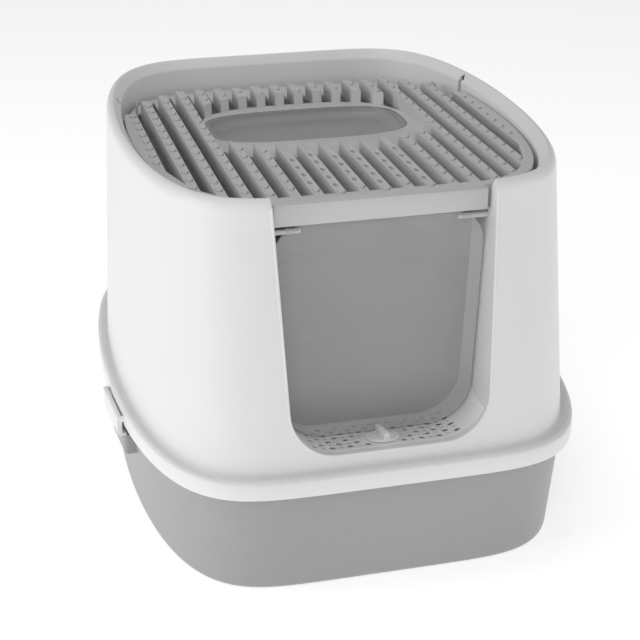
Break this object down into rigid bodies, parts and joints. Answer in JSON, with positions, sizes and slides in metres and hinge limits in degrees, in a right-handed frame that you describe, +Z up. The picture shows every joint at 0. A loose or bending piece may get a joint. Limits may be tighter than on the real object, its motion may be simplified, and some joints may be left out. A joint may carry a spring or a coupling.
{
  "type": "hooded cat litter box",
  "caption": "Hooded cat litter box: a clipped-on white hood over a grey tray, a slatted top lid with a window, a smoked swing flap and a perforated step.",
  "frame": {"origin": "on the floor, under the middle of the tray", "axes": "+Z up, the doorway faces -Y, +X is the box's right side as seen from the front"},
  "size_m": [0.4352, 0.5224, 0.3526],
  "materials": {
    "tray_plastic": "mid grey moulded polypropylene, fine satin",
    "hood_plastic": "white moulded polypropylene, satin gloss",
    "step_plastic": "white moulded polypropylene",
    "knob_plastic": "white moulded plastic",
    "cam_plastic": "grey moulded plastic",
    "smoked_plastic": "smoked translucent sheet",
    "pin_plastic": "dark moulded pin",
    "lid_plastic": "pale grey moulded polypropylene",
    "lid_pin_plastic": "pale grey moulded pin",
    "window_smoke": "smoked translucent pane",
    "clip_plastic": "white moulded plastic",
    "clip_pin_steel": "plain steel rod"
  },
  "bodies": {
    "tray": {"tray": "tray_plastic"},
    "hood": {"hood": "hood_plastic", "step_plate": "step_plastic", "clip_pin_left": "clip_pin_steel", "clip_pin_right": "clip_pin_steel"},
    "lid": {"lid_grate": "lid_plastic", "lid_window": "window_smoke", "lid_pin_left": "lid_pin_plastic", "lid_pin_right": "lid_pin_plastic"},
    "flap": {"flap": "smoked_plastic", "flap_pin_left": "pin_plastic", "flap_pin_right": "pin_plastic"},
    "knob": {"turn_knob": "knob_plastic", "knob_cam": "cam_plastic"},
    "clip_left": {"clip_left": "clip_plastic"},
    "clip_right": {"clip_right": "clip_plastic"}
  },
  "joints": [
    {"name": "hood_lift", "type": "slide", "parent": "tray", "child": "hood", "axis": [0, 0, 1], "range_m": [0, 0.15]},
    {"name": "lid_hinge", "type": "hinge", "parent": "hood", "child": "lid", "pos_m": [0, 0.096, 0.3256], "axis": [-1, 0, 0], "range_deg": [0, 70]},
    {"name": "flap_hinge", "type": "hinge", "parent": "hood", "child": "flap", "pos_m": [0, -0.2, 0.3105], "axis": [1, 0, 0], "range_deg": [0, 75]},
    {"name": "knob_turn", "type": "hinge", "parent": "hood", "child": "knob", "pos_m": [0, -0.2185, 0.12222], "axis": [0, 0.1676, 0.9859], "range_deg": [0, 90]},
    {"name": "clip_left_hinge", "type": "hinge", "parent": "hood", "child": "clip_left", "pos_m": [-0.2128, -0.066, 0.106], "axis": [-0.071, 0.9975, 0], "range_deg": [0, 60]},
    {"name": "clip_right_hinge", "type": "hinge", "parent": "hood", "child": "clip_right", "pos_m": [0.2128, -0.066, 0.106], "axis": [-0.071, -0.9975, 0], "range_deg": [0, 60]}
  ]
}
